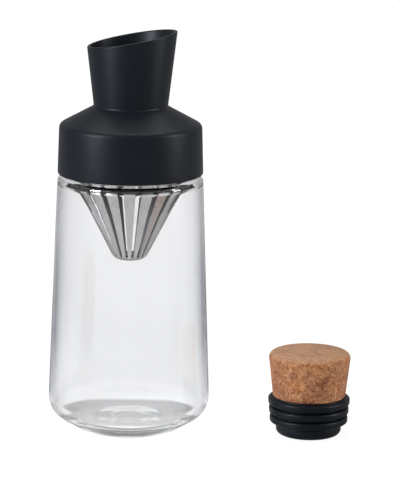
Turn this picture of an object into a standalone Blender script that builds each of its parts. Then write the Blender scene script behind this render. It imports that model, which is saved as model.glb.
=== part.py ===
"""Infusing decanter: a glass bottle, a push-on pouring collar with a slotted
infuser basket under it, and a cork stopper that stands beside the bottle.

Every piece is turned on its own vertical axis, and z is measured from the table.
"""
import math

import bmesh
import bpy
from mathutils import Matrix, Vector

# Fits, in metres
SEAT_GAP = 0.0003          # between two pieces that rest on or in each other
CHORD_ERROR = 0.00015      # how far a facet of an arc may leave the arc

# Facets round each piece
BODY_STEPS = 44
SEAL_STEPS = 36
STOPPER_STEPS = 32
STEPS_PER_SLOT = 4
CREASE_ANGLE = math.radians(50)

# Glass bottle
BASE_RADIUS = 0.0403       # side wall drawn down to the heel
HEEL_HEIGHT = 0.0102
HEEL_ANGLE = math.radians(31.3)
HEEL_FILLET = 0.011
FOOT_FILLET = 0.020
PUNT_RADIUS = 0.0172
PUNT_RISE = 0.0024
SHOULDER_RADIUS = 0.0358
SHOULDER_HEIGHT = 0.1274
SHOULDER_FILLET = 0.004
GLASS_WALL = 0.0024
GLASS_FLOOR = 0.0070
INNER_HEEL_FILLET = 0.007
INNER_SHOULDER_DEPTH = 0.0012
INNER_SHOULDER_FALL = 0.0013
NECK_BORE = 0.028
NECK_WALL = 0.0032
NECK_HEIGHT = 0.0222

# Silicone seal between the neck and the collar
SEAL_FLANGE = 0.0015
SEAL_FLANGE_OVERHANG = 0.0002
SEAL_WALL = 0.0012
SEAL_FINS = 3
SEAL_FIN_THICKNESS = 0.0012
SEAL_DEPTH = 0.0124

# Pouring collar
SKIRT_GAP = 0.0016         # from the glass shoulder up to the skirt
SKIRT_RADIUS = 0.0358
CROWN_RADIUS = 0.03505
SKIRT_WALL = 0.00185
CROWN_HEIGHT = 0.00144     # from the seal's ledge up to the crown's edge
CROWN_FILLET = 0.003
CONE_ANGLE = math.radians(28.6)
WAIST_RADIUS = 0.0182
SPOUT_LENGTH = 0.0330      # waist to the middle of the mouth
SPOUT_FLARE = math.radians(6.62)
SPOUT_WALL = 0.0017
MOUTH_ANGLE = math.radians(10.1)
LIP_FILLET = 0.0006
TUBE_WALL = 0.0018
BASKET_SEAT_LENGTH = 0.010

# Infuser basket
BASKET_SHEET = 0.0005
BASKET_NECK_GAP = 0.0007   # between the basket's band and the glass neck
BAND_LENGTH = 0.0141
FLARE_DEPTH = 0.0108
FLARE_RADIUS = 0.0211      # where the bell mouth ends and the straight cone starts
CONE_DEPTH = 0.0264
CAP_RADIUS = 0.0076
CAP_FILLET = 0.0055
BELL_FILLET = 0.004
SLOTS = 20
SLOT_TOP_WIDTH = 0.0030
SLOT_FOOT_WIDTH = 0.0010
SLOT_FOOT_GAP = 0.0018     # from the cap's underside up to the slots
SLOT_RISE = 0.0034         # how far the slots run up into the band
BASKET_TURN = math.radians(0.8)   # the way it happens to be pushed in

# Stopper
STOPPER_REACH = 0.0898     # from the bottle's axis to the stopper's axis, along x
STOPPER_FORWARD = 0.0077   # towards the front, along -y
CUP_RADIUS = 0.0162
CUP_HEIGHT = 0.0053
CUP_FILLET = 0.0030
STEM_RADIUS = 0.0105
STEM_LENGTH = 0.0250
RIB_RADIUS = 0.0203        # the top rib, the widest
RIB_STEP_IN = 0.00045      # how much smaller each lower rib is
RIBS = 3
RIB_PITCH = 0.00455
RIB_THICKNESS = 0.0036
GROOVE_DEPTH = 0.0022
CORK_FOOT_RADIUS = 0.0180
CORK_TOP_RADIUS = 0.0205
CORK_HEIGHT = 0.0217
CORK_CROWN = 0.0011        # how much the sanded top bulges
CORK_FILLET = 0.0027

# Heights and radii that follow from those above
NECK_RADIUS = NECK_BORE + NECK_WALL
RIM_Z = SHOULDER_HEIGHT + NECK_HEIGHT
LEDGE_Z = RIM_Z + SEAL_FLANGE + 2 * SEAT_GAP
CROWN_Z = LEDGE_Z + CROWN_HEIGHT
WAIST_Z = CROWN_Z + (CROWN_RADIUS - WAIST_RADIUS) * math.tan(CONE_ANGLE)
MOUTH_Z = WAIST_Z + SPOUT_LENGTH
MOUTH_RADIUS = WAIST_RADIUS + SPOUT_LENGTH * math.tan(SPOUT_FLARE)
SKIRT_Z = SHOULDER_HEIGHT + SKIRT_GAP
BAND_RADIUS = NECK_BORE - BASKET_NECK_GAP
SEAT_RADIUS = BAND_RADIUS - BASKET_SHEET - SEAT_GAP
SEAL_FOOT_Z = LEDGE_Z - SEAT_GAP - SEAL_FLANGE - SEAL_DEPTH
SEAL_BORE = NECK_BORE - SEAT_GAP - SEAL_FIN_THICKNESS - SEAL_WALL
GROOVE_RADIUS = SEAL_BORE - SEAT_GAP
SEAT_TOP_Z = SEAL_FOOT_Z - SEAT_GAP
TUBE_FOOT_Z = SEAT_TOP_Z - BASKET_SEAT_LENGTH
TUBE_BORE = GROOVE_RADIUS - TUBE_WALL
BAND_TOP_Z = SEAT_TOP_Z
BAND_Z = BAND_TOP_Z - BAND_LENGTH
FLARE_Z = BAND_Z - FLARE_DEPTH
BASKET_Z = FLARE_Z - CONE_DEPTH


def clear_scene():
    for old in list(bpy.data.objects):
        bpy.data.objects.remove(old, do_unlink=True)


def new_collection(name):
    collection = bpy.data.collections.new(name)
    bpy.context.scene.collection.children.link(collection)
    return collection


def new_material(name, color, roughness, metallic=0.0, transmission=0.0):
    material = bpy.data.materials.new(name)
    material.use_nodes = True
    material.diffuse_color = (*color, 1.0)
    shader = material.node_tree.nodes["Principled BSDF"]
    shader.inputs["Base Color"].default_value = (*color, 1.0)
    shader.inputs["Roughness"].default_value = roughness
    shader.inputs["Metallic"].default_value = metallic
    shader.inputs["Transmission Weight"].default_value = transmission
    return material


def fillet(before, corner, after, radius):
    """Points of the arc that rounds one corner of an outline."""
    to_before = (before - corner).normalized()
    to_after = (after - corner).normalized()
    half = to_before.angle(to_after) / 2
    reach = radius / math.tan(half)
    reach = min(reach, 0.49 * (before - corner).length, 0.49 * (after - corner).length)
    radius = reach * math.tan(half)
    centre = corner + (to_before + to_after).normalized() * radius / math.sin(half)
    start = corner + to_before * reach - centre
    sweep = math.pi - 2 * half
    if (corner - before).cross(after - corner) < 0:
        sweep = -sweep
    facet = 2 * math.acos(max(0.0, 1 - CHORD_ERROR / radius))
    count = max(1, math.ceil(abs(sweep) / facet))
    points = []
    for index in range(count + 1):
        turn = sweep * index / count
        points.append(centre + Vector((
            start.x * math.cos(turn) - start.y * math.sin(turn),
            start.x * math.sin(turn) + start.y * math.cos(turn))))
    return points


def outline(corners, closed=False):
    """Round the corners (r, z, fillet radius) of an outline; 0 leaves one sharp."""
    places = [Vector((r, z)) for r, z, _ in corners]
    points = []
    for index, (_, _, radius) in enumerate(corners):
        at_end = not closed and index in (0, len(corners) - 1)
        if radius == 0 or at_end:
            points.append(places[index])
            continue
        after = places[(index + 1) % len(places)]
        points.extend(fillet(places[index - 1], places[index], after, radius))
    return points


def turned(name, points, steps, material, collection, parent, closed=False):
    """Turn an outline, which runs down its outer side, into a body with Screw."""
    mesh = bpy.data.meshes.new(name)
    shape = bmesh.new()
    verts = [shape.verts.new((point.x, 0.0, point.y)) for point in points]
    for first, second in zip(verts, verts[1:]):
        shape.edges.new((first, second))
    if closed:
        shape.edges.new((verts[-1], verts[0]))
    shape.to_mesh(mesh)
    shape.free()
    body = bpy.data.objects.new(name, mesh)
    body.data.materials.append(material)
    collection.objects.link(body)
    body.parent = parent
    screw = body.modifiers.new("turn", "SCREW")
    screw.axis = "Z"
    screw.angle = math.tau
    screw.steps = steps
    screw.render_steps = steps
    screw.use_merge_vertices = True
    screw.merge_threshold = 0.00001
    screw.use_smooth_shade = True
    return body


def made_real(body):
    """Replace an object's mesh by its evaluated mesh, so that points can be moved."""
    bpy.context.view_layer.update()
    evaluated = body.evaluated_get(bpy.context.evaluated_depsgraph_get())
    mesh = bpy.data.meshes.new_from_object(evaluated)
    body.modifiers.clear()
    body.data = mesh
    return mesh


def shade(body):
    """Smooth the round faces and keep the real edges crisp."""
    mesh = made_real(body)
    mesh.shade_smooth()
    mesh.set_sharp_from_angle(angle=CREASE_ANGLE)


def joint_empty(name, place, collection, parent=None):
    empty = bpy.data.objects.new(name, None)
    empty.empty_display_size = 0.02
    empty.location = place
    empty.parent = parent
    collection.objects.link(empty)
    return empty


def bottle_outline():
    foot_radius = BASE_RADIUS - HEEL_HEIGHT / math.tan(HEEL_ANGLE)
    inner_base = BASE_RADIUS - GLASS_WALL
    inner_shoulder = SHOULDER_RADIUS - GLASS_WALL
    inner_shoulder_z = SHOULDER_HEIGHT - INNER_SHOULDER_DEPTH
    lip = NECK_WALL * 0.35
    return outline([
        (0, GLASS_FLOOR, 0),
        (inner_base, GLASS_FLOOR, INNER_HEEL_FILLET),
        (inner_shoulder, inner_shoulder_z - INNER_SHOULDER_FALL, 0.0025),
        (NECK_BORE, inner_shoulder_z, 0.001),
        (NECK_BORE, RIM_Z, lip),
        (NECK_RADIUS, RIM_Z, lip),
        (NECK_RADIUS, SHOULDER_HEIGHT + 0.0005, 0.001),
        (SHOULDER_RADIUS, SHOULDER_HEIGHT, SHOULDER_FILLET),
        (BASE_RADIUS, HEEL_HEIGHT, HEEL_FILLET),
        (foot_radius, 0, FOOT_FILLET),
        (PUNT_RADIUS, 0, 0.006),
        (PUNT_RADIUS * 0.35, PUNT_RISE, 0.020),
        (0, PUNT_RISE, 0),
    ])


def make_bottle(collection, parent):
    clear_glass = new_material("clear_glass", (0.93, 0.96, 0.95), 0.02, transmission=1.0)
    return turned("glass_bottle", bottle_outline(), BODY_STEPS, clear_glass, collection, parent)


def make_neck_seal(collection, parent):
    body_radius = SEAL_BORE + SEAL_WALL
    fin_radius = body_radius + SEAL_FIN_THICKNESS
    flange_radius = NECK_RADIUS + SEAL_FLANGE_OVERHANG
    flange_z = SEAL_FOOT_Z + SEAL_DEPTH
    corners = [
        (flange_radius, flange_z + SEAL_FLANGE, 0.0004),
        (flange_radius, flange_z, 0.0004),
        (body_radius, flange_z, 0),
    ]
    pitch = SEAL_DEPTH / (SEAL_FINS + 0.5)
    for index in range(SEAL_FINS):
        fin_z = flange_z - (index + 0.9) * pitch
        corners += [
            (body_radius, fin_z + SEAL_FIN_THICKNESS, 0),
            (fin_radius, fin_z + SEAL_FIN_THICKNESS * 0.4, 0),
            (fin_radius, fin_z - SEAL_FIN_THICKNESS * 0.4, 0),
            (body_radius, fin_z - SEAL_FIN_THICKNESS, 0),
        ]
    corners += [
        (body_radius, SEAL_FOOT_Z, 0),
        (SEAL_BORE, SEAL_FOOT_Z, 0),
        (SEAL_BORE, flange_z + SEAL_FLANGE, 0),
    ]
    silicone = new_material("black_silicone", (0.018, 0.020, 0.022), 0.45)
    points = outline(corners, closed=True)
    return turned("neck_seal", points, SEAL_STEPS, silicone, collection, parent, closed=True)


def cut_mouth_aslant(mesh):
    """Slide the turned lip along the flare until it lies in the slanted cut."""
    for vert in mesh.vertices:
        share = (vert.co.z - WAIST_Z) / SPOUT_LENGTH
        if share <= 0:
            continue
        rise = share * vert.co.x * math.tan(MOUTH_ANGLE)
        radius = math.hypot(vert.co.x, vert.co.y)
        grow = 1 + rise * math.tan(SPOUT_FLARE) / radius
        vert.co = (vert.co.x * grow, vert.co.y * grow, vert.co.z + rise)


def make_collar(collection, parent):
    fall = math.tan(CONE_ANGLE)
    inner_waist = WAIST_RADIUS - SPOUT_WALL
    inner_waist_z = WAIST_Z - SPOUT_WALL * fall - 0.0006
    collar = outline([
        (MOUTH_RADIUS, MOUTH_Z, LIP_FILLET),
        (WAIST_RADIUS, WAIST_Z, 0.0012),
        (CROWN_RADIUS, CROWN_Z, CROWN_FILLET),
        (SKIRT_RADIUS, SKIRT_Z, 0.0008),
        (SKIRT_RADIUS - SKIRT_WALL, SKIRT_Z, 0.0004),
        (CROWN_RADIUS - SKIRT_WALL, LEDGE_Z, 0.001),
        (GROOVE_RADIUS, LEDGE_Z, 0),
        (GROOVE_RADIUS, SEAT_TOP_Z, 0),
        (SEAT_RADIUS, SEAT_TOP_Z, 0.0003),
        (SEAT_RADIUS, TUBE_FOOT_Z, 0.0006),
        (TUBE_BORE, TUBE_FOOT_Z, 0.0006),
        (TUBE_BORE, inner_waist_z - (TUBE_BORE - inner_waist) * fall, 0.004),
        (inner_waist, inner_waist_z, 0.003),
        (MOUTH_RADIUS - SPOUT_WALL, MOUTH_Z, LIP_FILLET),
    ], closed=True)
    plastic = new_material("matte_black_plastic", (0.020, 0.023, 0.026), 0.42)
    body = turned("pour_collar", collar, BODY_STEPS, plastic, collection, parent, closed=True)
    cut_mouth_aslant(made_real(body))
    return body


def slot_cutter(index, collection, parent):
    """One slab through the axis, which cuts two slots that face each other."""
    reach = BAND_RADIUS + 0.003
    foot = BASKET_Z + SLOT_FOOT_GAP
    top = BAND_Z + SLOT_RISE
    mesh = bpy.data.meshes.new("slot_cutter")
    shape = bmesh.new()
    bmesh.ops.create_cube(shape, size=2.0)
    for vert in shape.verts:
        width = SLOT_TOP_WIDTH if vert.co.z > 0 else SLOT_FOOT_WIDTH
        height = top if vert.co.z > 0 else foot
        vert.co = (vert.co.x * reach, vert.co.y * width / 2, height)
    pitch = math.tau / SLOTS
    shape.transform(Matrix.Rotation((index + 0.5) * pitch + BASKET_TURN, 4, "Z"))
    shape.to_mesh(mesh)
    shape.free()
    cutter = bpy.data.objects.new("slot_cutter", mesh)
    cutter.hide_render = True
    cutter.display_type = "WIRE"
    cutter.parent = parent
    collection.objects.link(cutter)
    return cutter


def make_basket(collection, cutters, parent):
    sheet = outline([
        (BAND_RADIUS, BAND_TOP_Z, 0),
        (BAND_RADIUS, BAND_Z, BELL_FILLET),
        (FLARE_RADIUS, FLARE_Z, 0.030),
        (CAP_RADIUS, BASKET_Z, CAP_FILLET),
        (0, BASKET_Z, 0),
    ])
    steel = new_material("satin_steel", (0.62, 0.60, 0.57), 0.30, metallic=1.0)
    body = turned("infuser_basket", sheet, STEPS_PER_SLOT * SLOTS, steel, collection, parent)
    wall = body.modifiers.new("sheet", "SOLIDIFY")
    wall.thickness = BASKET_SHEET
    wall.offset = -1.0
    wall.use_even_offset = True
    for index in range(SLOTS // 2):
        slot = body.modifiers.new("slot", "BOOLEAN")
        slot.operation = "DIFFERENCE"
        slot.solver = "EXACT"
        slot.object = slot_cutter(index, cutters, parent)
    return body


def make_stopper_core(collection, parent):
    core = outline([
        (0, CUP_HEIGHT + STEM_LENGTH, 0),
        (STEM_RADIUS, CUP_HEIGHT + STEM_LENGTH, 0.001),
        (STEM_RADIUS, CUP_HEIGHT, 0),
        (CUP_RADIUS, CUP_HEIGHT, 0.0005),
        (CUP_RADIUS, 0, CUP_FILLET),
        (0, 0, 0),
    ])
    plastic = new_material("black_plastic", (0.016, 0.018, 0.020), 0.35)
    return turned("stopper_core", core, STOPPER_STEPS, plastic, collection, parent)


def rib_corners(index, rib_z):
    """Corners of one round rib, the groove above it and the groove below it."""
    radius = RIB_RADIUS - index * RIB_STEP_IN
    half = RIB_THICKNESS / 2
    groove = radius - GROOVE_DEPTH
    return [
        (groove, rib_z + half, 0),
        (radius, rib_z + half, half * 0.9),
        (radius, rib_z - half, half * 0.9),
        (groove, rib_z - half, 0),
    ]


def stopper_seal_outline():
    bore = STEM_RADIUS + SEAT_GAP
    foot_z = CUP_HEIGHT + SEAT_GAP
    top_z = foot_z + RIBS * RIB_PITCH
    corners = [(CORK_FOOT_RADIUS, top_z, 0)]
    for index in range(RIBS):
        corners += rib_corners(index, top_z - (index + 0.5) * RIB_PITCH)
    corners += [
        (CUP_RADIUS, foot_z, 0),
        (bore, foot_z, 0),
        (bore, top_z, 0),
    ]
    return outline(corners, closed=True)


def make_stopper_seal(collection, parent):
    silicone = bpy.data.materials["black_silicone"]
    points = stopper_seal_outline()
    return turned("stopper_seal", points, STOPPER_STEPS, silicone, collection, parent, closed=True)


def stopper_cork_outline():
    foot_z = CUP_HEIGHT + RIBS * RIB_PITCH + 2 * SEAT_GAP
    top_z = foot_z + CORK_HEIGHT
    bore = STEM_RADIUS + SEAT_GAP
    return outline([
        (0, top_z + CORK_CROWN, 0),
        (CORK_TOP_RADIUS, top_z, CORK_FILLET),
        (CORK_FOOT_RADIUS, foot_z, 0.0003),
        (bore, foot_z, 0),
        (bore, CUP_HEIGHT + STEM_LENGTH + SEAT_GAP, 0),
        (0, CUP_HEIGHT + STEM_LENGTH + SEAT_GAP, 0),
    ])


def make_stopper_cork(collection, parent):
    grain = new_material("agglomerated_cork", (0.52, 0.30, 0.17), 0.85)
    points = stopper_cork_outline()
    return turned("stopper_cork", points, STOPPER_STEPS, grain, collection, parent)


def bottle_place():
    """Where the bottle's axis stands, so that the origin is midway along the set."""
    left = max(point.x for point in bottle_outline())
    right = max(point.x for point in stopper_seal_outline() + stopper_cork_outline())
    return (left - STOPPER_REACH - right) / 2


def main():
    clear_scene()
    pieces = new_collection("infusing_decanter")
    cutters = new_collection("cutters")
    bottle_x = bottle_place()
    bottle_axis = joint_empty("bottle_axis", (bottle_x, 0, 0), pieces)
    collar_axis = joint_empty("collar_axis", (0, 0, 0), pieces, bottle_axis)
    stopper_place = (bottle_x + STOPPER_REACH, -STOPPER_FORWARD, 0)
    stopper_axis = joint_empty("stopper_axis", stopper_place, pieces)
    make_bottle(pieces, bottle_axis)
    make_neck_seal(pieces, collar_axis)
    make_collar(pieces, collar_axis)
    make_basket(pieces, cutters, collar_axis)
    make_stopper_core(pieces, stopper_axis)
    make_stopper_seal(pieces, stopper_axis)
    make_stopper_cork(pieces, stopper_axis)
    for body in pieces.objects:
        if body.type == "MESH":
            shade(body)


main()
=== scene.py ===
# %% [markdown]
# # An infusing decanter, piece by piece
#
# The set is a clear glass bottle with a black pouring collar, a slotted steel
# infuser cone that hangs inside the neck, and a cork stopper standing beside it.
# Nearly every piece is round about an axis, so most of them are made the way a
# turner would: draw half a section, round its corners, and spin it.

# %% Load the frame
import math

import bmesh
import bpy
from mathutils import Matrix, Vector


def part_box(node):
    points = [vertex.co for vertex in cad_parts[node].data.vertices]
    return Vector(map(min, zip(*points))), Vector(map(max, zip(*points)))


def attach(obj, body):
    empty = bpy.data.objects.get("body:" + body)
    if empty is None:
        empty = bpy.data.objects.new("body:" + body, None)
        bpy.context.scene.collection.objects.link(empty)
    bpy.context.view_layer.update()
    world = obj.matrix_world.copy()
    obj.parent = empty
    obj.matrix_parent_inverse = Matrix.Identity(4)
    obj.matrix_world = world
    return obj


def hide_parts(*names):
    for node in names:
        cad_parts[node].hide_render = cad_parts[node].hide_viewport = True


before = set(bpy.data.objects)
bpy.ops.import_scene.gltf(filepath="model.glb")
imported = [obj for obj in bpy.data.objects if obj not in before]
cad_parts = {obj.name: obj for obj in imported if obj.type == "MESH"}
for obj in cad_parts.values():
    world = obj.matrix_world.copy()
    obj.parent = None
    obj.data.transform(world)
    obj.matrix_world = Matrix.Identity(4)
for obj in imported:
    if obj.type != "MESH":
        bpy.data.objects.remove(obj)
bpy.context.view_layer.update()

# %% [markdown]
# ## Camera
#
# Product photographs are taken from far away with a long lens, so that the sides
# of a bottle stay nearly parallel. Here the camera stands 1.23 m in front, looks
# 12 degrees down, and is tipped by less than a degree, as the picture is.

# %% Camera
PICTURE_HEIGHT = 489
FOCAL_PIXELS = 2544
CAMERA_PLACE = (-0.0004, -1.230, 0.354)
DEGREES_DOWN, DEGREES_TIPPED = 11.96, 0.75

camera_data = bpy.data.cameras.new("camera")
camera_data.lens = FOCAL_PIXELS * camera_data.sensor_width / PICTURE_HEIGHT
camera = bpy.data.objects.new("camera", camera_data)
bpy.context.scene.collection.objects.link(camera)
look_down = Matrix.Rotation(math.radians(90 - DEGREES_DOWN), 4, "X")
tip = Matrix.Rotation(math.radians(DEGREES_TIPPED), 4, "Z")
camera.matrix_world = Matrix.Translation(CAMERA_PLACE) @ look_down @ tip
bpy.context.scene.camera = camera
print("lens: %.1f mm" % camera_data.lens)

# %% [markdown]
# ## Where the axes stand
#
# The frame already says where each piece is. The middle of the collar's box is
# not the bottle's axis, because the mouth is cut aslant and leans to one side,
# so the axes are read from pieces that are truly round.

# %% Axes of the bottle and the stopper
def axis_of(node):
    low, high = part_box(node)
    return Vector(((low[0] + high[0]) / 2, (low[1] + high[1]) / 2, 0))


BOTTLE_AXIS = axis_of("glass_bottle")
STOPPER_AXIS = axis_of("stopper_core")
print("bottle axis:", tuple(round(v, 4) for v in BOTTLE_AXIS))

# %% [markdown]
# ## Drawing and turning a section
#
# A lathe part needs only half of its section. It starts as a tiny plane that is
# merged to one vertex, and that vertex is extruded from corner to corner. A
# vertex bevel then rounds a corner: its width is the length of edge that it uses
# up, so the radius of the fillet is turned into that width first.

# %% Helpers for turned pieces
SAME_PLACE = 0.000001
MERGE_BELOW = 0.000002
NEARLY_HALF = 0.49
SMOOTH_BELOW = math.radians(40)


def in_mm(*numbers):
    return tuple(number / 1000 for number in numbers)


def select_verts(piece, test):
    """Edit mode: select only the vertices whose place passes the test."""
    shape = bmesh.from_edit_mesh(piece.data)
    for part in (*shape.faces, *shape.edges, *shape.verts):
        part.select = False
    for vert in shape.verts:
        vert.select = bool(test(vert.co))
    shape.select_flush_mode()
    bmesh.update_edit_mesh(piece.data)


def draw_section(name, axis, corners, closed=False):
    """Extrude a chain of edges through corners given as (radius, height) in mm."""
    bpy.ops.object.select_all(action="DESELECT")
    places = [axis + Vector((r / 1000, 0, z / 1000)) for r, z, *_ in corners]
    bpy.ops.mesh.primitive_plane_add(size=0.001, location=places[0])
    piece = bpy.context.object
    piece.name = name
    bpy.ops.object.transform_apply(location=True, rotation=True, scale=True)
    bpy.ops.object.mode_set(mode="EDIT")
    bpy.ops.mesh.select_mode(type="VERT")
    bpy.ops.mesh.merge(type="CENTER")
    for start, end in zip(places, places[1:]):
        bpy.ops.mesh.extrude_region_move(TRANSFORM_OT_translate={"value": end - start})
    if closed:
        ends = (places[0], places[-1])
        select_verts(piece, lambda co: min((co - end).length for end in ends) < SAME_PLACE)
        bpy.ops.mesh.edge_face_add()
    return piece, places


def round_corners(piece, places, radii, segments=6):
    """Bevel corner vertices of a section so that each gets its fillet radius."""
    for index, radius in enumerate(radii):
        if not radius:
            continue
        here = places[index]
        to_before = places[index - 1] - here
        to_after = places[(index + 1) % len(places)] - here
        half = to_before.angle(to_after) / 2
        reach = min(radius / 1000 / math.tan(half),
                    NEARLY_HALF * to_before.length, NEARLY_HALF * to_after.length)
        bulge = 0.5 / (1 + math.sin(half))
        select_verts(piece, lambda co: (co - here).length < SAME_PLACE)
        bpy.ops.mesh.bevel(offset_type="OFFSET", offset=reach, affect="VERTICES",
                           segments=segments, profile=(1 - bulge) ** 2)


def turn(piece, axis, steps):
    """Spin the whole section round its axis and close it to a clean skin."""
    bpy.ops.mesh.select_all(action="SELECT")
    bpy.ops.mesh.spin(steps=steps, angle=math.tau, center=axis, axis=(0, 0, 1))
    bpy.ops.mesh.select_all(action="SELECT")
    bpy.ops.mesh.remove_doubles(threshold=MERGE_BELOW)
    bpy.ops.mesh.normals_make_consistent(inside=False)
    bpy.ops.object.mode_set(mode="OBJECT")
    bpy.ops.object.shade_smooth_by_angle(angle=SMOOTH_BELOW)


def turned_piece(name, axis, corners, closed=False, steps=160, segments=6):
    """A round piece from corners given as (radius, height, fillet) in mm."""
    piece, places = draw_section(name, axis, corners, closed)
    round_corners(piece, places, [corner[2] for corner in corners], segments)
    turn(piece, axis, steps)
    return piece


def tell(piece):
    """Print what was made."""
    size = piece.dimensions * 1000
    print("%s: %d faces, %.1f x %.1f x %.1f mm" % (piece.name, len(piece.data.polygons), *size))

# %% [markdown]
# ## Glass bottle
#
# The real bottle is blown in a mould: a tapered side, a rounded heel, a shallow
# punt under the floor, and a wide neck that the collar hides. Inside and outside
# are one closed skin, because light bends where it enters and again where it
# leaves, and the thickness between the two is what makes glass look like glass.

# %% Glass bottle
GLASS_SECTION = [
    (0, 7.0, 0), (37.9, 7.0, 7), (33.4, 124.9, 2.5),
    (28.0, 126.2, 1), (28.0, 149.6, 1.1), (31.2, 149.6, 1.1), (31.2, 127.9, 1),
    (35.8, 127.4, 4), (40.3, 10.2, 11), (23.52, 0, 20), (17.2, 0, 6),
    (6.0, 2.4, 20), (0, 2.4, 0),
]
bottle = turned_piece("bottle_glass", BOTTLE_AXIS, GLASS_SECTION, steps=192, segments=12)
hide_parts("glass_bottle")
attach(bottle, "bottle")
bottle.visible_shadow = False
tell(bottle)

# %% [markdown]
# ## Silicone seal in the neck
#
# A collar that is only pushed on needs something soft to hold it. This sleeve has
# a flange that lies on the glass rim and three fins that press against the neck.
# It is hidden until the collar is lifted off.

# %% Neck seal
FLANGE_TOP, FLANGE_FOOT, SLEEVE_FOOT = 151.4, 149.9, 137.5
FLANGE_RADIUS, FIN_RADIUS, SLEEVE_RADIUS, SLEEVE_BORE = 31.4, 27.7, 26.5, 25.3
FINS = 3
FIN_STEP = (FLANGE_FOOT - SLEEVE_FOOT) / (FINS + 0.5)


def seal_section():
    corners = [(FLANGE_RADIUS, FLANGE_TOP, 0.4), (FLANGE_RADIUS, FLANGE_FOOT, 0.4),
               (SLEEVE_RADIUS, FLANGE_FOOT, 0.3)]
    for fin in range(FINS):
        z = FLANGE_FOOT - (fin + 0.9) * FIN_STEP
        corners += [(SLEEVE_RADIUS, z + 1.2, 0.3), (FIN_RADIUS, z + 0.48, 0.35),
                    (FIN_RADIUS, z - 0.48, 0.35), (SLEEVE_RADIUS, z - 1.2, 0.3)]
    return corners + [(SLEEVE_RADIUS, SLEEVE_FOOT, 0.3), (SLEEVE_BORE, SLEEVE_FOOT, 0.3),
                      (SLEEVE_BORE, FLANGE_TOP, 0.3)]


neck_seal = turned_piece("neck_sleeve", BOTTLE_AXIS, seal_section(), closed=True, steps=128,
                         segments=3)
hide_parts("neck_seal")
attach(neck_seal, "seal")
tell(neck_seal)

# %% [markdown]
# ## Pouring collar
#
# One moulding in black plastic: a skirt over the neck, a cone, a narrow waist and
# a spout that flares again. Its mouth is cut aslant, so that one side is higher
# and pours. The section is turned with a spout that is too long. A bisect takes
# the slanted cut, which leaves two open rims, and a bridge closes them. The lip is
# rounded last, with a bevel along both rims.

# %% Pouring collar, turned with a long spout
SLANT = math.radians(10.1)
FLARE = math.tan(math.radians(6.62))
THROAT_Z, WAIST_Z, MOUTH_Z = 160.8, 162.327, 195.327
THROAT_RADIUS, WAIST_RADIUS, SPOUT_WALL = 16.5, 18.2, 1.7
TOO_LONG = 8.0

spout_top = MOUTH_Z + TOO_LONG
spout_radius = WAIST_RADIUS + (spout_top - WAIST_Z) * FLARE
mouth_bore = WAIST_RADIUS + (MOUTH_Z - WAIST_Z) * FLARE - SPOUT_WALL
inner_flare = (mouth_bore - THROAT_RADIUS) / (MOUTH_Z - THROAT_Z)
inner_top = THROAT_RADIUS + (spout_top - THROAT_Z) * inner_flare
COLLAR_SECTION = [
    (spout_radius, spout_top, 0), (WAIST_RADIUS, WAIST_Z, 1.2), (35.05, 153.14, 3.0),
    (35.8, 129.0, 0.8), (33.95, 129.0, 0.4), (33.2, 151.7, 1.0), (25.0, 151.7, 0.3),
    (25.0, 137.2, 0.3), (26.5, 137.2, 0.3), (26.5, 127.2, 0.6), (23.2, 127.2, 0.6),
    (23.2, 157.147, 4.0), (THROAT_RADIUS, THROAT_Z, 3.0), (inner_top, spout_top, 0),
]
collar, collar_places = draw_section("collar_shell", BOTTLE_AXIS, COLLAR_SECTION)
round_corners(collar, collar_places, [corner[2] for corner in COLLAR_SECTION], segments=8)
turn(collar, BOTTLE_AXIS, steps=192)

# %% The slanted mouth
LIP_ROUNDING = 0.0006
ON_THE_PLANE = 0.00001
FACES_THE_CUT = 0.99

bpy.ops.object.mode_set(mode="EDIT")
bpy.ops.mesh.select_all(action="SELECT")
mouth_middle = BOTTLE_AXIS + Vector((0, 0, MOUTH_Z / 1000))
cut_normal = Vector((-math.sin(SLANT), 0, math.cos(SLANT)))
bpy.ops.mesh.bisect(plane_co=mouth_middle, plane_no=cut_normal, clear_outer=True)


def on_the_cut(co):
    return abs((co - mouth_middle).dot(cut_normal)) < ON_THE_PLANE


select_verts(collar, on_the_cut)
bpy.ops.mesh.bridge_edge_loops()
select_verts(collar, on_the_cut)
bpy.ops.mesh.select_mode(type="EDGE")
shape = bmesh.from_edit_mesh(collar.data)
for edge in shape.edges:
    in_the_cut = [abs(face.normal.dot(cut_normal)) > FACES_THE_CUT
                  for face in edge.link_faces]
    edge.select = all(on_the_cut(vert.co) for vert in edge.verts) and sum(in_the_cut) == 1
bmesh.update_edit_mesh(collar.data)
bpy.ops.mesh.bevel(offset=LIP_ROUNDING, offset_type="OFFSET", segments=4, affect="EDGES")
bpy.ops.mesh.select_mode(type="VERT")
bpy.ops.object.mode_set(mode="OBJECT")
bpy.ops.object.shade_smooth_by_angle(angle=SMOOTH_BELOW)
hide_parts("pour_collar")
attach(collar, "collar")
tell(collar)

# %% [markdown]
# ## Infuser cone
#
# The infuser is drawn from thin stainless sheet: a closed tip, a straight cone, a
# bell mouth and a plain band that grips the collar. Twenty tapered slots leave
# twenty ribs, so only one rib is modelled. A slice of 18 degrees is spun, from
# the middle of one slot to the middle of the next. Bisects score the slots' sides
# and ends into it, the faces inside the slots are deleted, and spin then copies
# the slice round the axis. A bevel rounds the cut edges. It leaves slivers along
# the slots and the rim, thinner than a thousandth of a millimetre, so close
# vertices are merged once more.

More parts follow.
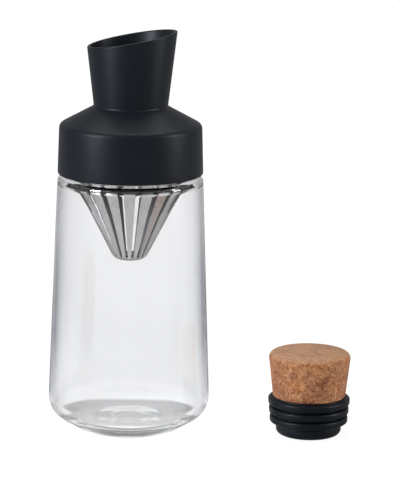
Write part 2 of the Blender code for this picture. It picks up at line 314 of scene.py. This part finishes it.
# %% One rib of the infuser
SLOTS = 20
SLICE = math.tau / SLOTS
TURNED_IN = math.radians(0.8)
SLOT_FOOT, SLOT_TOP = in_mm(87.7, 126.5)
HALF_FOOT_WIDTH, HALF_TOP_WIDTH = in_mm(0.5, 1.5)
CONE_SECTION = [
    (27.3, 137.2, 0), (27.3, 123.1, 4), (21.1, 112.3, 30), (7.6, 85.9, 5.5), (0, 85.9, 0),
]
infuser, cone_places = draw_section("infuser_cone", BOTTLE_AXIS, CONE_SECTION)
round_corners(infuser, cone_places, [corner[2] for corner in CONE_SECTION], segments=8)
bpy.ops.mesh.select_all(action="SELECT")
bpy.ops.transform.rotate(value=SLICE / 2 - TURNED_IN, orient_axis="Z",
                         center_override=BOTTLE_AXIS)
bpy.ops.mesh.spin(steps=10, angle=SLICE, center=BOTTLE_AXIS, axis=(0, 0, 1))
bpy.ops.mesh.select_all(action="SELECT")
bpy.ops.mesh.remove_doubles(threshold=MERGE_BELOW)


def middle_angle(piece):
    """Direction of the slice's middle, seen from the axis."""
    shape = bmesh.from_edit_mesh(piece.data)
    arms = [vert.co.xy - BOTTLE_AXIS.xy for vert in shape.verts]
    return math.atan2(sum(arm.y for arm in arms), sum(arm.x for arm in arms))


rib_angle = middle_angle(infuser)
print("the first rib points to %.0f degrees" % math.degrees(rib_angle))

# %% The slots' ends and sides
ARM = 0.01      # a way out from the axis, to any point on the slot's side


def slot_side(side):
    """Plane of one side of a slot: a point on it and its normal, away from the rib."""
    turned = Matrix.Rotation(rib_angle + side * SLICE / 2, 3, "Z")
    foot = Vector((ARM, -side * HALF_FOOT_WIDTH, SLOT_FOOT))
    top = Vector((ARM, -side * HALF_TOP_WIDTH, SLOT_TOP))
    normal = (top - foot).cross(Vector((1, 0, 0))).normalized()
    if normal.y * side < 0:
        normal.negate()
    return BOTTLE_AXIS + turned @ foot, turned @ normal


for height in (SLOT_FOOT, SLOT_TOP):
    bpy.ops.mesh.select_all(action="SELECT")
    bpy.ops.mesh.bisect(plane_co=(0, 0, height), plane_no=(0, 0, 1))
bpy.ops.mesh.select_mode(type="FACE")


def select_faces(piece, test):
    shape = bmesh.from_edit_mesh(piece.data)
    for part in (*shape.faces, *shape.edges, *shape.verts):
        part.select = False
    for face in shape.faces:
        if test(face.calc_center_median()):
            face.select_set(True)
    bmesh.update_edit_mesh(piece.data)


def between_the_ends(place):
    return SLOT_FOOT < place.z < SLOT_TOP


for side in (-1, 1):
    point, normal = slot_side(side)
    select_faces(infuser, between_the_ends)
    bpy.ops.mesh.bisect(plane_co=point, plane_no=normal)
    select_faces(infuser, lambda place:
                 between_the_ends(place) and (place - point).dot(normal) > 0)
    bpy.ops.mesh.delete(type="FACE")

# %% Twenty ribs in a ring, then the sheet's thickness
SHEET, EDGE_ROUNDING, SLIVER = 0.0005, 0.00008, 0.000005
SHARP_ABOVE = math.radians(50)

bpy.ops.mesh.select_all(action="SELECT")
bpy.ops.mesh.spin(steps=SLOTS - 1, dupli=True, angle=(SLOTS - 1) * SLICE,
                  center=BOTTLE_AXIS, axis=(0, 0, 1))
bpy.ops.mesh.select_all(action="SELECT")
bpy.ops.mesh.remove_doubles(threshold=2 * MERGE_BELOW)
bpy.ops.mesh.normals_make_consistent(inside=False)
bpy.ops.mesh.select_mode(type="VERT")
bpy.ops.object.mode_set(mode="OBJECT")


def finish_with(piece, kind, **settings):
    """Add a modifier with these settings and apply it."""
    modifier = piece.modifiers.new(kind.lower(), kind)
    for name, value in settings.items():
        setattr(modifier, name, value)
    bpy.ops.object.modifier_apply(modifier=modifier.name)


finish_with(infuser, "SOLIDIFY", thickness=SHEET, offset=-1, use_even_offset=True)
finish_with(infuser, "BEVEL", width=EDGE_ROUNDING, segments=2, limit_method="ANGLE",
            angle_limit=SHARP_ABOVE)
bpy.ops.object.mode_set(mode="EDIT")
bpy.ops.mesh.select_all(action="SELECT")
bpy.ops.mesh.remove_doubles(threshold=SLIVER)
bpy.ops.object.mode_set(mode="OBJECT")
bpy.ops.object.shade_smooth_by_angle(angle=SMOOTH_BELOW)
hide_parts("infuser_basket")
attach(infuser, "basket")
tell(infuser)

# %% [markdown]
# ## Stopper
#
# The stopper is taken off and stands on its foot. A black plastic core, with a
# rounded cup under it, carries a silicone sleeve with three fat ribs, and the
# tapered cork head is pressed over the core's stem. All three are turned, and the
# ribs get their round fronts from the vertex bevel.

# %% Stopper core
CORE_SECTION = [
    (0, 30.3, 0), (10.5, 30.3, 1.0), (10.5, 5.3, 0.3), (16.2, 5.3, 0.5), (16.2, 0, 3.0),
    (0, 0, 0),
]
core = turned_piece("stopper_stem", STOPPER_AXIS, CORE_SECTION, steps=128)
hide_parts("stopper_core")
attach(core, "stopper")
tell(core)

# %% Ribbed sleeve
SLEEVE_TOP, SLEEVE_BASE = 19.25, 5.6
RIBS = 3
RIB_STEP = (SLEEVE_TOP - SLEEVE_BASE) / RIBS
TOP_RIB_RADIUS, RIB_TAPER = 20.3, 0.45
RIB_DEPTH, HALF_RIB = 2.2, 1.8


def sleeve_section():
    corners = [(18.0, SLEEVE_TOP, 0)]
    for rib in range(RIBS):
        radius = TOP_RIB_RADIUS - rib * RIB_TAPER
        z = SLEEVE_TOP - (rib + 0.5) * RIB_STEP
        corners += [(radius - RIB_DEPTH, z + HALF_RIB, 0.25), (radius, z + HALF_RIB, 1.62),
                    (radius, z - HALF_RIB, 1.62), (radius - RIB_DEPTH, z - HALF_RIB, 0.25)]
    return corners + [(16.2, SLEEVE_BASE, 0.2), (10.8, SLEEVE_BASE, 0), (10.8, SLEEVE_TOP, 0)]


sleeve = turned_piece("stopper_sleeve", STOPPER_AXIS, sleeve_section(), closed=True, steps=128,
                      segments=8)
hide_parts("stopper_seal")
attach(sleeve, "stopper")
tell(sleeve)

# %% Cork head
CORK_SECTION = [
    (0, 42.35, 0), (20.5, 41.25, 2.7), (18.0, 19.55, 0.3), (10.8, 19.55, 0.2),
    (10.8, 30.6, 0.5), (0, 30.6, 0),
]
cork = turned_piece("cork_head", STOPPER_AXIS, CORK_SECTION, steps=160, segments=8)
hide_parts("stopper_cork")
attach(cork, "stopper")
tell(cork)

# %% [markdown]
# ## Colours and nodes
#
# Colours are written the way a picture editor shows them, as sRGB hex, and turned
# to the linear values that a shader counts with. One helper adds a node, sets what
# it is told and links what it is given, so that a material reads like a recipe.

# %% Helpers for materials
MIX_A, MIX_B = 6, 7      # the two colour inputs of a Mix node


def linear(hex_colour):
    """Linear values of a hex colour, by the curve of the sRGB standard."""
    channels = [int(hex_colour[i:i + 2], 16) / 255 for i in (1, 3, 5)]
    return tuple(c / 12.92 if c <= 0.04045 else ((c + 0.055) / 1.055) ** 2.4 for c in channels)


def rgba(hex_colour):
    return (*linear(hex_colour), 1)


WHITE = rgba("#ffffff")


def add(tree, kind, inputs=None, **settings):
    """Add a node, set its properties, and set or link its inputs.

    An input that is given a whole node takes the first of its outputs in use.
    """
    node = tree.nodes.new(kind)
    for name, value in settings.items():
        setattr(node, name, value)
    for socket, value in (inputs or {}).items():
        if isinstance(value, bpy.types.Node):
            value = next(output for output in value.outputs if output.enabled)
        if isinstance(value, bpy.types.NodeSocket):
            tree.links.new(value, node.inputs[socket])
        else:
            node.inputs[socket].default_value = value
    return node


def new_finish(name):
    """An empty material and its node tree."""
    material = bpy.data.materials.new(name)
    material.use_nodes = True
    material.node_tree.nodes.clear()
    return material, material.node_tree


def dress(piece, material):
    piece.data.materials.clear()
    piece.data.materials.append(material)


def ramp(tree, factor, stops):
    """A colour ramp from (place, hex colour) stops."""
    node = add(tree, "ShaderNodeValToRGB", {"Fac": factor})
    while len(node.color_ramp.elements) < len(stops):
        node.color_ramp.elements.new(0.5)
    for element, (place, colour) in zip(node.color_ramp.elements, stops):
        element.position, element.color = place, rgba(colour)
    return node

# %% [markdown]
# ## Clear glass
#
# Soda-lime glass, fire-polished after blowing: the surface is as smooth as a
# liquid's, with slow waves from the mould. Its index of refraction is 1.52. The
# glass itself has so weak a tint that it shows only over a long way, which is what
# volume absorption does. A round bottle in a studio also has darker edges, because
# they bend in the dark parts of the room. The colour of the outer side wall draws
# that: it gets darker where the wall turns away from the eye, and then lighter
# again. It is weaker near the white floor and under the shoulder, and the inner
# wall, the foot and the neck are left clear.

# %% Clear soda-lime glass: slow waves from the mould
WAVES_PER_METRE = 35      # about 30 mm from one wave to the next
WAVE_DEPTH = 0.0004

glass, tree = new_finish("clear_soda_lime_glass")
place = add(tree, "ShaderNodeTexCoord").outputs["Object"]
waves = add(tree, "ShaderNodeTexNoise", {"Vector": place, "Scale": WAVES_PER_METRE, "Detail": 1})
bump = add(tree, "ShaderNodeBump", {"Height": waves, "Strength": 0.15, "Distance": WAVE_DEPTH})

# %% A darker tone where the wall turns away from the eye
slope = add(tree, "ShaderNodeLayerWeight", {"Blend": 0.5})
edge_tone = ramp(tree, slope.outputs["Facing"], [
    (0.35, "#f6f6f7"), (0.45, "#f1f1f3"), (0.50, "#e5e6e8"), (0.54, "#d4d5d9"),
    (0.58, "#b2b4ba"), (0.62, "#989aa1"), (0.65, "#7a7d86"), (0.69, "#565961"),
    (0.73, "#5d6068"), (0.78, "#81848b"), (0.84, "#c9cace")])

# %% Only the outer side wall takes that tone
# A cone that runs inside the thickness of the side wall parts its two faces.
CONE_RADIUS, CONE_TAPER = 0.0395, 0.0388
SIDE_TOP = 0.13

centred = add(tree, "ShaderNodeMapping", {"Vector": place, "Location": -BOTTLE_AXIS})
parts = add(tree, "ShaderNodeSeparateXYZ", {"Vector": centred})
level = add(tree, "ShaderNodeCombineXYZ", {"X": parts.outputs["X"], "Y": parts.outputs["Y"]})
radius = add(tree, "ShaderNodeVectorMath", {0: level}, operation="LENGTH")
upright = add(tree, "ShaderNodeMath", {0: parts.outputs["Z"], 1: CONE_TAPER, 2: radius},
              operation="MULTIPLY_ADD")
outside = add(tree, "ShaderNodeMath", {0: upright, 1: CONE_RADIUS}, operation="GREATER_THAN")
height = add(tree, "ShaderNodeMapRange", {"Value": parts.outputs["Z"], "From Max": SIDE_TOP})
share = ramp(tree, height, [
    (0.04, "#959595"), (0.40, "#ffffff"), (0.62, "#ffffff"), (0.80, "#e3e3e3")])
share = add(tree, "ShaderNodeMath", {0: outside, 1: share}, operation="MULTIPLY")
wall_tone = add(tree, "ShaderNodeMix", {"Factor": share, MIX_A: WHITE, MIX_B: edge_tone},
                data_type="RGBA")

# %% The glass itself, with its weak tint inside
GLASS_IOR = 1.52

shader = add(tree, "ShaderNodeBsdfPrincipled", {
    "Base Color": wall_tone, "Roughness": 0.0, "IOR": GLASS_IOR,
    "Transmission Weight": 1.0, "Normal": bump})
tint = add(tree, "ShaderNodeVolumeAbsorption", {"Color": rgba("#b4bab9"), "Density": 8.0})
add(tree, "ShaderNodeOutputMaterial", {"Surface": shader, "Volume": tint})
dress(bottle, glass)

# %% [markdown]
# ## Black mouldings and silicone
#
# The collar is polypropylene from a mould with a fine spark-eroded texture, which
# spreads the light into broad soft highlights. The grain is about a tenth of a
# millimetre; it is drawn at a quarter of a millimetre, because a finer one would
# not show. The stopper's core and the silicone pieces come from smoother moulds, so
# they are made the same way with a grain half as deep.

# %% Spark-textured polypropylene and satin silicone
CLOUDS_PER_METRE = 60      # a slightly uneven black, in patches of about 17 mm
SHINE_SPREAD = 0.05
BLACK_IOR, BLACK_SPECULAR = 1.49, 0.14


def black_finish(name, colour, lighter, roughness, grain, depth):
    """A black moulded surface, with a grain of this width and depth in metres."""
    material, tree = new_finish(name)
    place = add(tree, "ShaderNodeTexCoord").outputs["Object"]
    cloud = add(tree, "ShaderNodeTexNoise", {
        "Vector": place, "Scale": CLOUDS_PER_METRE, "Detail": 3})
    tone = ramp(tree, cloud, [(0.3, colour), (0.7, lighter)])
    texture = add(tree, "ShaderNodeTexNoise", {"Vector": place, "Scale": 1 / grain, "Detail": 2})
    shine = add(tree, "ShaderNodeMapRange", {
        "Value": texture, "To Min": roughness - SHINE_SPREAD, "To Max": roughness + SHINE_SPREAD})
    bump = add(tree, "ShaderNodeBump", {"Height": texture, "Strength": 0.4, "Distance": depth})
    shader = add(tree, "ShaderNodeBsdfPrincipled", {
        "Base Color": tone, "Roughness": shine, "IOR": BLACK_IOR,
        "Specular IOR Level": BLACK_SPECULAR, "Normal": bump})
    add(tree, "ShaderNodeOutputMaterial", {"Surface": shader})
    return material


# Each line: piece, name, colour, lighter colour, roughness, width and depth of the grain.
BLACK_FINISHES = [
    (collar, "spark_textured_polypropylene", "#0a0e13", "#0d1116", 0.42, 0.00025, 0.00002),
    (core, "satin_polypropylene", "#090d11", "#0c1014", 0.38, 0.00025, 0.00001),
    (neck_seal, "neck_silicone_rubber", "#111316", "#14161a", 0.55, 0.0003, 0.00001),
    (sleeve, "ribbed_silicone_rubber", "#05090c", "#080c10", 0.42, 0.0003, 0.00001),
]
for piece, *finish in BLACK_FINISHES:
    dress(piece, black_finish(*finish))

# %% [markdown]
# ## Satin stainless steel
#
# The sheet is satin finished: it was ground with a fine belt before it was drawn,
# so every rib has faint streaks that run down it. The streaks are noise on
# cylinder coordinates, squeezed round the axis and stretched along it. Real ones
# are a few hundredths of a millimetre wide; they are drawn 0.4 mm wide, because
# finer ones would not show. The side that faces the axis is darker: that is
# painted shade, for the inside of the cone under the collar. The flare and the
# band are smoother, because the drawing tool rubs them. A dark Specular Tint takes
# light from the ribs that turn away: painted shade, for the dark room they mirror.

# %% Satin stainless steel: streaks down the ribs
STREAKS_PER_METRE = 2500      # 0.4 mm wide
TURN_RADIUS = 0.02       # turns an angle into a way round the cone, in metres
STRETCH = 0.06

steel, tree = new_finish("satin_stainless_steel")
place = add(tree, "ShaderNodeTexCoord").outputs["Object"]
centred = add(tree, "ShaderNodeMapping", {"Vector": place, "Location": -BOTTLE_AXIS})
parts = add(tree, "ShaderNodeSeparateXYZ", {"Vector": centred})
angle = add(tree, "ShaderNodeMath", {0: parts.outputs["Y"], 1: parts.outputs["X"]},
            operation="ARCTAN2")
around = add(tree, "ShaderNodeMath", {0: angle, 1: TURN_RADIUS}, operation="MULTIPLY")
along = add(tree, "ShaderNodeMath", {0: parts.outputs["Z"], 1: STRETCH}, operation="MULTIPLY")
sheet_place = add(tree, "ShaderNodeCombineXYZ", {"X": around, "Y": along})
streaks = add(tree, "ShaderNodeTexNoise", {
    "Vector": sheet_place, "Scale": STREAKS_PER_METRE, "Detail": 3})

# %% A brighter outside, and painted shade on the inside
streak_tone = ramp(tree, streaks, [(0.3, "#bdbbb8"), (0.7, "#cfcdcb")])
skin = add(tree, "ShaderNodeTexCoord").outputs["Normal"]
from_axis = add(tree, "ShaderNodeCombineXYZ", {"X": parts.outputs["X"], "Y": parts.outputs["Y"]})
outwards = add(tree, "ShaderNodeVectorMath", {0: skin, 1: from_axis}, operation="DOT_PRODUCT")
is_outside = add(tree, "ShaderNodeMath", {0: outwards, 1: 0.0}, operation="GREATER_THAN")
# Painted shade: the side that faces the axis is multiplied by a grey, for the shade inside the
# cone under the collar.
painted_inside_shade = add(tree, "ShaderNodeMix", {
    "Factor": is_outside, MIX_A: rgba("#7b7b81"), MIX_B: WHITE}, data_type="RGBA")
tone = add(tree, "ShaderNodeMix", {"Factor": 1.0, MIX_A: streak_tone, MIX_B: painted_inside_shade},
           data_type="RGBA", blend_type="MULTIPLY")

# %% The shine, smoother where the flare was rubbed
SATIN_LEAST, SATIN_MOST = 0.34, 0.44
FLARE_FOOT, FLARE_FULL = 0.109, 0.118
RUBBED = -0.15

shine = add(tree, "ShaderNodeMapRange", {
    "Value": streaks, "To Min": SATIN_LEAST, "To Max": SATIN_MOST})
rubbed = add(tree, "ShaderNodeMapRange", {
    "Value": parts.outputs["Z"], "From Min": FLARE_FOOT, "From Max": FLARE_FULL,
    "To Max": RUBBED})
shine = add(tree, "ShaderNodeMath", {0: shine, 1: rubbed}, operation="ADD")
bump = add(tree, "ShaderNodeBump", {"Height": streaks, "Strength": 0.3, "Distance": 0.00002})
# The dark Specular Tint is painted shade: it darkens the ribs that turn away, for the dark room
# they mirror.
shader = add(tree, "ShaderNodeBsdfPrincipled", {
    "Base Color": tone, "Metallic": 1.0, "Roughness": shine,
    "Specular Tint": rgba("#060608"), "Normal": bump})
add(tree, "ShaderNodeOutputMaterial", {"Surface": shader})
dress(infuser, steel)

# %% [markdown]
# ## Agglomerated cork
#
# Ground cork is pressed with a binder and sanded to shape. Granules of one to
# three millimetres differ in colour, with dark flecks of bark between them. One
# Voronoi pattern gives each granule its own tone, a slow noise makes paler and
# darker patches of them, and a finer Voronoi scatters the flecks. The end face,
# where the normal points up, is paler and has fewer flecks.

# %% Sanded agglomerated cork: granules, each with its own tone
GRANULES_PER_METRE = 900      # about 1.1 mm across, before the warp
WARPS_PER_METRE, WARP = 700, 0.0006

cork_finish, tree = new_finish("sanded_agglomerated_cork")
place = add(tree, "ShaderNodeTexCoord").outputs["Object"]
warp = add(tree, "ShaderNodeTexNoise", {"Vector": place, "Scale": WARPS_PER_METRE, "Detail": 2})
shift = add(tree, "ShaderNodeVectorMath", {0: warp.outputs["Color"], "Scale": WARP},
            operation="SCALE")
bent = add(tree, "ShaderNodeVectorMath", {0: place, 1: shift}, operation="ADD")
granules = add(tree, "ShaderNodeTexVoronoi", {"Vector": bent, "Scale": GRANULES_PER_METRE})
pick = add(tree, "ShaderNodeSeparateColor", {"Color": granules.outputs["Color"]})
granule_tone = ramp(tree, pick.outputs["Red"], [
    (0.0, "#6b4229"), (0.25, "#80563b"), (0.6, "#8c6245"), (0.85, "#956d4d"), (1.0, "#a27b58")])

# %% Paler and darker patches
PATCHES_PER_METRE = 110      # about 9 mm across

patches = add(tree, "ShaderNodeTexNoise", {
    "Vector": place, "Scale": PATCHES_PER_METRE, "Detail": 3})
patch_tone = ramp(tree, patches, [(0.36, "#d3baa6"), (0.48, "#f6efe8"), (0.66, "#ffeccb")])
tone = add(tree, "ShaderNodeMix", {"Factor": 1.0, MIX_A: granule_tone, MIX_B: patch_tone},
           data_type="RGBA", blend_type="MULTIPLY")

# %% Flecks of bark, few of them on the paler end face
FLECKS_PER_METRE = 1100      # places for a fleck, about 0.9 mm apart
PICKED_FROM, PICKED_FULL = 0.78, 0.86      # so that about one place in five has one
FLECK_EDGE, FLECK_CORE = 0.35, 0.15
# How far the normal points upwards: the side less than the first, the end more than
# the second, and the rounded rim between them.
SIDE_FACES, END_FACES = 0.3, 0.95
LEFT_ON_END, PALER_END = 0.2, 0.4

flecks = add(tree, "ShaderNodeTexVoronoi", {"Vector": bent, "Scale": FLECKS_PER_METRE})
fleck_pick = add(tree, "ShaderNodeSeparateColor", {"Color": flecks.outputs["Color"]})
is_fleck = add(tree, "ShaderNodeMapRange", {
    "Value": fleck_pick.outputs["Green"],
    "From Min": PICKED_FROM, "From Max": PICKED_FULL})
near = add(tree, "ShaderNodeMapRange", {
    "Value": flecks, "From Min": FLECK_EDGE, "From Max": FLECK_CORE})
fleck = add(tree, "ShaderNodeMath", {0: is_fleck, 1: near}, operation="MULTIPLY")
skin = add(tree, "ShaderNodeTexCoord").outputs["Normal"]
facing = add(tree, "ShaderNodeSeparateXYZ", {"Vector": skin})
on_side = add(tree, "ShaderNodeMapRange", {
    "Value": facing.outputs["Z"], "From Min": SIDE_FACES, "From Max": END_FACES,
    "To Min": 1.0, "To Max": LEFT_ON_END})
fleck = add(tree, "ShaderNodeMath", {0: fleck, 1: on_side}, operation="MULTIPLY")
pale_end = add(tree, "ShaderNodeMapRange", {
    "Value": facing.outputs["Z"], "From Min": SIDE_FACES, "From Max": END_FACES,
    "To Min": 0.0, "To Max": PALER_END})
tone = add(tree, "ShaderNodeMix", {
    "Factor": pale_end, MIX_A: tone, MIX_B: rgba("#9c8067")}, data_type="RGBA")
tone = add(tree, "ShaderNodeMix", {
    "Factor": fleck, MIX_A: tone, MIX_B: rgba("#4a2915")}, data_type="RGBA")

# %% The cork's dull, pitted surface
PITS_PER_METRE = 2500      # 0.4 mm across
PIT_DEPTH = 0.00015

fine = add(tree, "ShaderNodeTexNoise", {"Vector": place, "Scale": PITS_PER_METRE, "Detail": 2})
height = add(tree, "ShaderNodeMath", {0: fine, 1: fleck}, operation="SUBTRACT")
bump = add(tree, "ShaderNodeBump", {"Height": height, "Strength": 0.6, "Distance": PIT_DEPTH})
shader = add(tree, "ShaderNodeBsdfPrincipled", {
    "Base Color": tone, "Roughness": 0.85, "Specular IOR Level": 0.25, "Normal": bump})
add(tree, "ShaderNodeOutputMaterial", {"Surface": shader})
dress(cork, cork_finish)

# %% [markdown]
# ## Floor, background and light
#
# The background is plain white. The floor and the world show white to the camera,
# to reflections and to the light that passes through the glass, while the floor
# still takes a little of the object's shadow. Clear glass needs something dark to
# be seen at all: a photographer puts black cards out of the picture, and the
# rounded edges of the glass bend them into thin dark outlines. Here the cards are
# a soft pattern round the object, in the floor and in the world, and only
# reflections and refractions see them. Under the foot of the bottle the floor has
# a grey band, the shade that shows through the thick base. Mirroring surfaces see
# the room at half its strength, which keeps the black pieces black. The floor
# close to the foot isn't dimmed so, because the thick base mirrors it many times.

# %% Soft dark cards round the object
CARDS = 8
CARD_TONE, OPEN_TONE = 0.81, 0.98
MIRROR_TONE = 0.5
CARD_WHITE = rgba("#f3f3f3")


def card_pattern(tree, direction):
    """The open tone in the gaps between the cards, falling to the cards' tone."""
    parts = add(tree, "ShaderNodeSeparateXYZ", {"Vector": direction})
    angle = add(tree, "ShaderNodeMath", {0: parts.outputs["Y"], 1: parts.outputs["X"]},
                operation="ARCTAN2")
    turns = add(tree, "ShaderNodeMath", {0: angle, 1: CARDS}, operation="MULTIPLY")
    wave = add(tree, "ShaderNodeMath", {0: turns}, operation="COSINE")
    return add(tree, "ShaderNodeMapRange", {
        "Value": wave, "From Min": -1.0, "From Max": 0.9,
        "To Min": CARD_TONE, "To Max": OPEN_TONE})

# %% What each kind of ray sees
def dimmed_for_mirrors(tree, ray, tone, amount=1.0):
    """The tone itself, but darker for rays that come from a mirroring surface."""
    mirrored = add(tree, "ShaderNodeMath", {
        0: ray.outputs["Is Glossy Ray"], 1: ray.outputs["Is Transmission Ray"]},
        operation="SUBTRACT", use_clamp=True)
    part = add(tree, "ShaderNodeMath", {0: mirrored, 1: amount}, operation="MULTIPLY")
    share = add(tree, "ShaderNodeMath", {0: part, 1: MIRROR_TONE - 1, 2: 1.0},
                operation="MULTIPLY_ADD")
    return add(tree, "ShaderNodeMath", {0: tone, 1: share}, operation="MULTIPLY")


def by_kind_of_ray(tree, ray, to_light, to_glass, to_camera):
    """One shader for plain light, one for mirrored and bent rays, one for the camera."""
    bent_or_mirrored = add(tree, "ShaderNodeMath", {
        0: ray.outputs["Is Glossy Ray"], 1: ray.outputs["Is Transmission Ray"]},
        operation="MAXIMUM")
    off_camera = add(tree, "ShaderNodeMixShader", {
        "Fac": bent_or_mirrored, 1: to_light, 2: to_glass})
    return add(tree, "ShaderNodeMixShader", {
        "Fac": ray.outputs["Is Camera Ray"], 1: off_camera, 2: to_camera})

# %% World
STUDIO_LEVEL = 0.22

world = bpy.data.worlds.new("studio")
bpy.context.scene.world = world
world.use_nodes = True
tree = world.node_tree
tree.nodes.clear()
ray = add(tree, "ShaderNodeLightPath")
direction = add(tree, "ShaderNodeTexCoord").outputs["Generated"]
cards = dimmed_for_mirrors(tree, ray, card_pattern(tree, direction))
light = add(tree, "ShaderNodeBackground", {"Color": WHITE, "Strength": STUDIO_LEVEL})
seen = add(tree, "ShaderNodeBackground", {"Color": WHITE, "Strength": 1.0})
seen_in_glass = add(tree, "ShaderNodeBackground", {"Color": CARD_WHITE, "Strength": cards})
add(tree, "ShaderNodeOutputWorld", {
    "Surface": by_kind_of_ray(tree, ray, light, seen_in_glass, seen)})

# %% Floor
FLOOR_WIDTH = 40
FLOOR_BELOW = 0.0002

bpy.ops.object.select_all(action="DESELECT")
bpy.ops.mesh.primitive_plane_add(size=FLOOR_WIDTH, location=(0, 0, -FLOOR_BELOW))
floor = bpy.context.object
floor.name = "studio_floor"
bpy.ops.object.transform_apply(location=True, rotation=True, scale=True)

# %% What the glass and the metal see in the floor
CARDS_FROM, CARDS_FULL = 0.15, 0.30
BAND_SQUEEZE, BAND_PLACE = (0.15, 1, 1), (0, 0.008, 0)
BAND_EDGE, BAND_END = 0.018, 0.025
FOOT_TONE, NEAR_TONE = 0.44, 0.91
# Mirroring surfaces see the floor dimmed past the second distance, and up to the
# first one a little brighter than it is.
CLEAR_FROM, CLEAR_FULL = 0.05, 0.10
CLEAR_AT_FOOT = -0.2

white, tree = new_finish("white_floor")
ray = add(tree, "ShaderNodeLightPath")
place = add(tree, "ShaderNodeTexCoord").outputs["Object"]
centred = add(tree, "ShaderNodeMapping", {"Vector": place, "Location": -BOTTLE_AXIS})
reach = add(tree, "ShaderNodeVectorMath", {0: centred}, operation="LENGTH")
far_enough = add(tree, "ShaderNodeMapRange", {
    "Value": reach, "From Min": CARDS_FROM, "From Max": CARDS_FULL},
    interpolation_type="SMOOTHSTEP")
band = add(tree, "ShaderNodeVectorMath", {0: centred, 1: BAND_SQUEEZE}, operation="MULTIPLY")
across = add(tree, "ShaderNodeVectorMath", {0: band, 1: BAND_PLACE}, operation="DISTANCE")
under_foot = add(tree, "ShaderNodeMapRange", {
    "Value": across, "From Min": BAND_EDGE, "From Max": BAND_END,
    "To Min": FOOT_TONE, "To Max": NEAR_TONE}, interpolation_type="SMOOTHSTEP")
cards = add(tree, "ShaderNodeMix", {
    "Factor": far_enough, 2: under_foot, 3: card_pattern(tree, centred)}, data_type="FLOAT")
clear_of_foot = add(tree, "ShaderNodeMapRange", {
    "Value": reach, "From Min": CLEAR_FROM, "From Max": CLEAR_FULL, "To Min": CLEAR_AT_FOOT})
cards = dimmed_for_mirrors(tree, ray, cards, clear_of_foot)

# %% The floor's surface, for each kind of ray
SHADOW_SHARE = 0.12
GLOW_SHARE = 0.8
BACKDROP_FROM, BACKDROP_FULL = 0.3, 1.2
WHITE_NEAR, WHITE_FAR = 1.03, 1.12

matt = add(tree, "ShaderNodeBsdfDiffuse", {"Color": rgba("#f2f2f2")})
backdrop = add(tree, "ShaderNodeMapRange", {
    "Value": reach, "From Min": BACKDROP_FROM, "From Max": BACKDROP_FULL,
    "To Min": WHITE_NEAR, "To Max": WHITE_FAR})
glow = add(tree, "ShaderNodeEmission", {"Color": WHITE, "Strength": backdrop})
seen = add(tree, "ShaderNodeMixShader", {"Fac": 1 - SHADOW_SHARE, 1: matt, 2: glow})
card_glow = add(tree, "ShaderNodeEmission", {"Color": CARD_WHITE, "Strength": cards})
card_matt = add(tree, "ShaderNodeBsdfDiffuse", {"Color": cards})
in_glass = add(tree, "ShaderNodeMixShader", {"Fac": GLOW_SHARE, 1: card_matt, 2: card_glow})
add(tree, "ShaderNodeOutputMaterial", {
    "Surface": by_kind_of_ray(tree, ray, matt, in_glass, seen)})
dress(floor, white)

# %% Softboxes
LAMPS_AIM = (0, 0, 0.1)


def softbox(name, place, width, height, power, colour="#ffffff"):
    """A rectangular area lamp that looks at the object."""
    lamp = bpy.data.lights.new(name, "AREA")
    lamp.shape = "RECTANGLE"
    lamp.size, lamp.size_y = width, height
    lamp.energy = power
    lamp.color = linear(colour)
    holder = bpy.data.objects.new(name, lamp)
    bpy.context.scene.collection.objects.link(holder)
    holder.location = place
    holder.visible_transmission = False
    to_object = Vector(LAMPS_AIM) - Vector(place)
    holder.rotation_euler = to_object.to_track_quat("-Z", "Y").to_euler()


softbox("left_softbox", (-1.13, -0.72, 0.55), 0.35, 0.9, 32, "#e9effa")
softbox("right_softbox", (1.2, -0.25, 0.5), 0.3, 0.9, 15, "#f3f6fc")
softbox("top_softbox", (0.0, 0.3, 1.6), 1.2, 1.2, 19)

bpy.context.scene.view_settings.view_transform = "Standard"
